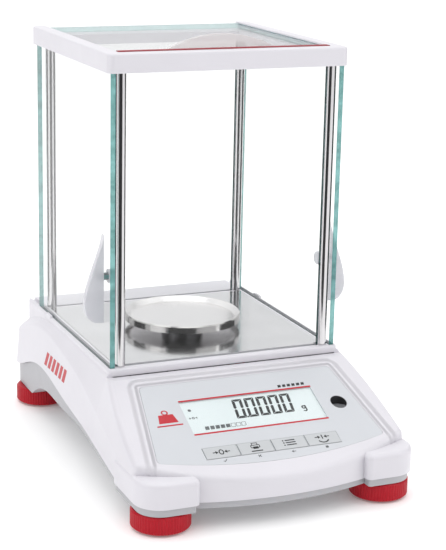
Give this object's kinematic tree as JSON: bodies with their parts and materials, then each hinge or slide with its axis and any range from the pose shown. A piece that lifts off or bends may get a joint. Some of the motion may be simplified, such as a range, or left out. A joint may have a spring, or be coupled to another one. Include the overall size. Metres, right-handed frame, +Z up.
{
  "type": "analytical balance",
  "caption": "Analytical balance: a sloping display housing on levelling feet under a tall glass draft shield with sliding side and top doors round a small pan.",
  "frame": {"origin": "centre of the footprint on the bench under the four feet", "axes": "+Z up; -Y towards the user and the display; +X to the user's right"},
  "size_m": [0.209, 0.3209, 0.3186],
  "materials": {
    "white_plastic": "satin moulded white",
    "grey_plastic": "moulded light grey, fine texture",
    "red_plastic": "moulded red, satin",
    "clear_glass": "clear float glass with polished edges",
    "vial_glass": "clear vial with fluid",
    "polished_steel": "bright drawn steel",
    "brushed_steel": "finely brushed sheet",
    "pan_steel": "satin spun steel",
    "support_steel": "turned, dark",
    "zinc_steel": "zinc plated",
    "spring_steel": "thin spring sheet",
    "dark_plastic": "moulded dark grey",
    "black_plastic": "moulded black",
    "handle_plastic": "translucent frosted grey",
    "panel_film": "printed polyester film",
    "key_film": "embossed polyester film",
    "lcd": "white backlit display",
    "circuit_board": "solder mask",
    "cable_grey": "ribbon insulation",
    "cell_aluminium": "machined",
    "pot_iron": "blackened iron",
    "copper_wire": "enamelled copper winding",
    "brass": "turned brass",
    "pad_rubber": "black rubber"
  },
  "bodies": {
    "housing": {"top_housing": "white_plastic", "bottom_housing": "grey_plastic", "housing_screws": "zinc_steel", "inner_screws": "zinc_steel", "post_screws": "zinc_steel", "floor_plate": "brushed_steel", "pan_seal": "dark_plastic", "front_left_post": "polished_steel", "front_right_post": "polished_steel", "rear_left_post": "polished_steel", "rear_right_post": "polished_steel", "top_frame": "white_plastic", "front_glass": "clear_glass", "rear_glass": "clear_glass", "door_stops": "white_plastic", "display_overlay": "panel_film", "lcd_panel": "lcd", "display_board": "circuit_board", "level_vial": "vial_glass", "main_board": "circuit_board", "power_jack": "black_plastic", "usb_socket": "zinc_steel", "serial_socket": "zinc_steel", "display_cable": "cable_grey", "cell_base": "cell_aluminium", "upper_guide": "spring_steel", "lower_guide": "spring_steel", "load_receiver": "cell_aluminium", "coupling_link": "spring_steel", "weighing_lever": "cell_aluminium", "magnet_pot": "pot_iron", "coil": "copper_wire", "position_sensor": "black_plastic", "weigh_hook": "zinc_steel", "foot_inserts": "brass"},
    "left_door": {"left_door_glass": "clear_glass", "left_door_handle": "handle_plastic", "left_door_bolt": "handle_plastic"},
    "right_door": {"right_door_glass": "clear_glass", "right_door_handle": "handle_plastic", "right_door_bolt": "handle_plastic"},
    "top_door": {"top_door_glass": "clear_glass", "top_door_trim": "red_plastic", "top_door_handle": "handle_plastic"},
    "pan": {"weighing_pan": "pan_steel", "pan_support": "support_steel"},
    "hook_cover": {"hook_cover": "black_plastic"},
    "zero_key": {"zero_key": "key_film"},
    "unit_key": {"unit_key": "key_film"},
    "function_key": {"function_key": "key_film"},
    "tare_key": {"tare_key": "key_film"},
    "front_left_pad": {"front_left_pad": "pad_rubber"},
    "front_left_wheel": {"front_left_wheel": "red_plastic"},
    "front_right_pad": {"front_right_pad": "pad_rubber"},
    "front_right_wheel": {"front_right_wheel": "red_plastic"},
    "rear_left_pad": {"rear_left_pad": "pad_rubber"},
    "rear_left_wheel": {"rear_left_wheel": "red_plastic"},
    "rear_right_pad": {"rear_right_pad": "pad_rubber"},
    "rear_right_wheel": {"rear_right_wheel": "red_plastic"}
  },
  "joints": [
    {"name": "left_door_slide", "type": "slide", "parent": "housing", "child": "left_door", "axis": [0, 1, 0], "range_m": [0, 0.138]},
    {"name": "right_door_slide", "type": "slide", "parent": "housing", "child": "right_door", "axis": [0, 1, 0], "range_m": [0, 0.138]},
    {"name": "top_door_slide", "type": "slide", "parent": "housing", "child": "top_door", "axis": [0, 1, 0], "range_m": [0, 0.14]},
    {"name": "pan_lift", "type": "slide", "parent": "housing", "child": "pan", "axis": [0, 0, 1], "range_m": [0, 0.03]},
    {"name": "hook_cover_swing", "type": "hinge", "parent": "housing", "child": "hook_cover", "pos_m": [0.02, 0.038, 0.0139], "axis": [0, 0, 1], "range_deg": [0, 110]},
    {"name": "zero_key_press", "type": "slide", "parent": "housing", "child": "zero_key", "axis": [0, 0.4027, -0.9153], "range_m": [0, 0.0004], "stiffness_N_per_m": 1500, "springref_m": -0.0003},
    {"name": "unit_key_press", "type": "slide", "parent": "housing", "child": "unit_key", "axis": [0, 0.4027, -0.9153], "range_m": [0, 0.0004], "stiffness_N_per_m": 1500, "springref_m": -0.0003},
    {"name": "function_key_press", "type": "slide", "parent": "housing", "child": "function_key", "axis": [0, 0.4027, -0.9153], "range_m": [0, 0.0004], "stiffness_N_per_m": 1500, "springref_m": -0.0003},
    {"name": "tare_key_press", "type": "slide", "parent": "housing", "child": "tare_key", "axis": [0, 0.4027, -0.9153], "range_m": [0, 0.0004], "stiffness_N_per_m": 1500, "springref_m": -0.0003},
    {"name": "front_left_foot_lift", "type": "slide", "parent": "housing", "child": "front_left_pad", "axis": [0, 0, -1], "range_m": [0, 0.005]},
    {"name": "front_left_foot_turn", "type": "hinge", "parent": "front_left_pad", "child": "front_left_wheel", "pos_m": [-0.0834, -0.1357, 0.008], "axis": [0, 0, -1], "range_deg": [0, 1441]},
    {"name": "front_right_foot_lift", "type": "slide", "parent": "housing", "child": "front_right_pad", "axis": [0, 0, -1], "range_m": [0, 0.005]},
    {"name": "front_right_foot_turn", "type": "hinge", "parent": "front_right_pad", "child": "front_right_wheel", "pos_m": [0.0834, -0.1357, 0.008], "axis": [0, 0, -1], "range_deg": [0, 1441]},
    {"name": "rear_left_foot_lift", "type": "slide", "parent": "housing", "child": "rear_left_pad", "axis": [0, 0, -1], "range_m": [0, 0.005]},
    {"name": "rear_left_foot_turn", "type": "hinge", "parent": "rear_left_pad", "child": "rear_left_wheel", "pos_m": [-0.0834, 0.1395, 0.008], "axis": [0, 0, -1], "range_deg": [0, 1441]},
    {"name": "rear_right_foot_lift", "type": "slide", "parent": "housing", "child": "rear_right_pad", "axis": [0, 0, -1], "range_m": [0, 0.005]},
    {"name": "rear_right_foot_turn", "type": "hinge", "parent": "rear_right_pad", "child": "rear_right_wheel", "pos_m": [0.0834, 0.1395, 0.008], "axis": [0, 0, -1], "range_deg": [0, 1441]}
  ],
  "couplings": [
    {"joint": "front_left_foot_turn", "follows": "front_left_foot_lift", "rad_per_m": 5026.5},
    {"joint": "front_right_foot_turn", "follows": "front_right_foot_lift", "rad_per_m": 5026.5},
    {"joint": "rear_left_foot_turn", "follows": "rear_left_foot_lift", "rad_per_m": 5026.5},
    {"joint": "rear_right_foot_turn", "follows": "rear_right_foot_lift", "rad_per_m": 5026.5}
  ]
}
